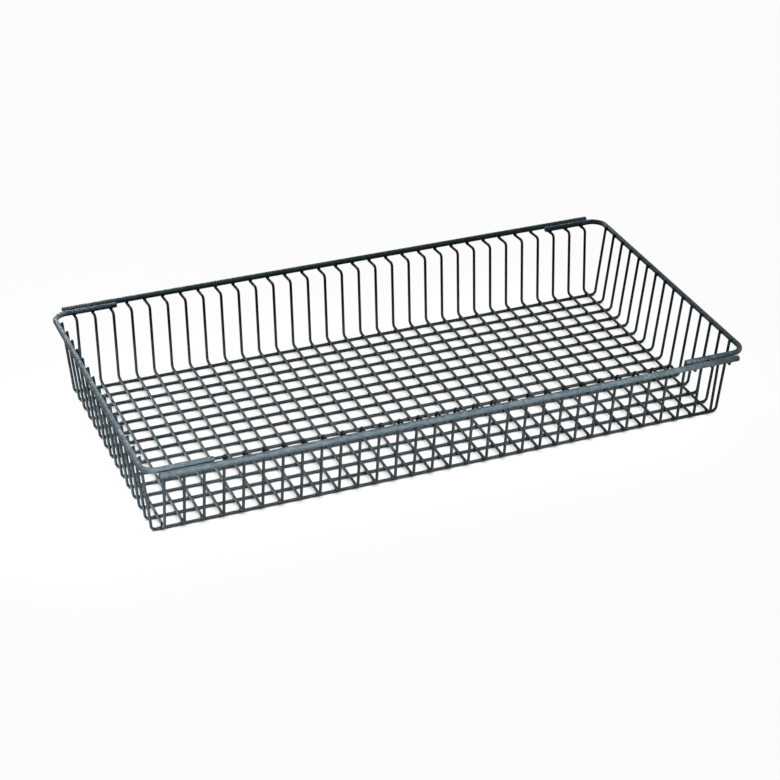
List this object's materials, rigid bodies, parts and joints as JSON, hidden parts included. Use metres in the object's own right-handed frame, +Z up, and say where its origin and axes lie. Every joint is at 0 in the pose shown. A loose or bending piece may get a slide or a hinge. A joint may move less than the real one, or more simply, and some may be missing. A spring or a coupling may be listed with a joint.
{
  "type": "wire cart basket",
  "caption": "Shallow rectangular wire basket: square welded mesh floor, leaning wire walls, a rod loop round each end and runner rods along the long rims that rest on a cart's ledges.",
  "frame": {"origin": "under the middle of the basket, level with the underside of the longitudinal wires that it stands on", "axes": "+X along the long side, +Y from the front long wall to the back one, +Z up"},
  "size_m": [0.8288, 0.4486, 0.1105],
  "materials": {
    "coated_wire": "satin slate-grey epoxy coat on steel wire",
    "coated_rod": "satin slate-grey epoxy coat on steel rod"
  },
  "bodies": {
    "root": {"transverse_wire_01": "coated_wire", "transverse_wire_02": "coated_wire", "transverse_wire_03": "coated_wire", "transverse_wire_04": "coated_wire", "transverse_wire_05": "coated_wire", "transverse_wire_06": "coated_wire", "transverse_wire_07": "coated_wire", "transverse_wire_08": "coated_wire", "transverse_wire_09": "coated_wire", "transverse_wire_10": "coated_wire", "transverse_wire_11": "coated_wire", "transverse_wire_12": "coated_wire", "transverse_wire_13": "coated_wire", "transverse_wire_14": "coated_wire", "transverse_wire_15": "coated_wire", "transverse_wire_16": "coated_wire", "transverse_wire_17": "coated_wire", "transverse_wire_18": "coated_wire", "transverse_wire_19": "coated_wire", "transverse_wire_20": "coated_wire", "transverse_wire_21": "coated_wire", "transverse_wire_22": "coated_wire", "transverse_wire_23": "coated_wire", "transverse_wire_24": "coated_wire", "transverse_wire_25": "coated_wire", "transverse_wire_26": "coated_wire", "transverse_wire_27": "coated_wire", "transverse_wire_28": "coated_wire", "transverse_wire_29": "coated_wire", "transverse_wire_30": "coated_wire", "transverse_wire_31": "coated_wire", "longitudinal_wire_01": "coated_wire", "longitudinal_wire_02": "coated_wire", "longitudinal_wire_03": "coated_wire", "longitudinal_wire_04": "coated_wire", "longitudinal_wire_05": "coated_wire", "longitudinal_wire_06": "coated_wire", "longitudinal_wire_07": "coated_wire", "longitudinal_wire_08": "coated_wire", "longitudinal_wire_09": "coated_wire", "longitudinal_wire_10": "coated_wire", "longitudinal_wire_11": "coated_wire", "longitudinal_wire_12": "coated_wire", "longitudinal_wire_13": "coated_wire", "longitudinal_wire_14": "coated_wire", "longitudinal_wire_15": "coated_wire", "rim_end_loop_left": "coated_rod", "rim_end_loop_right": "coated_rod", "runner_rod_front": "coated_rod", "runner_rod_back": "coated_rod"}
  },
  "joints": []
}
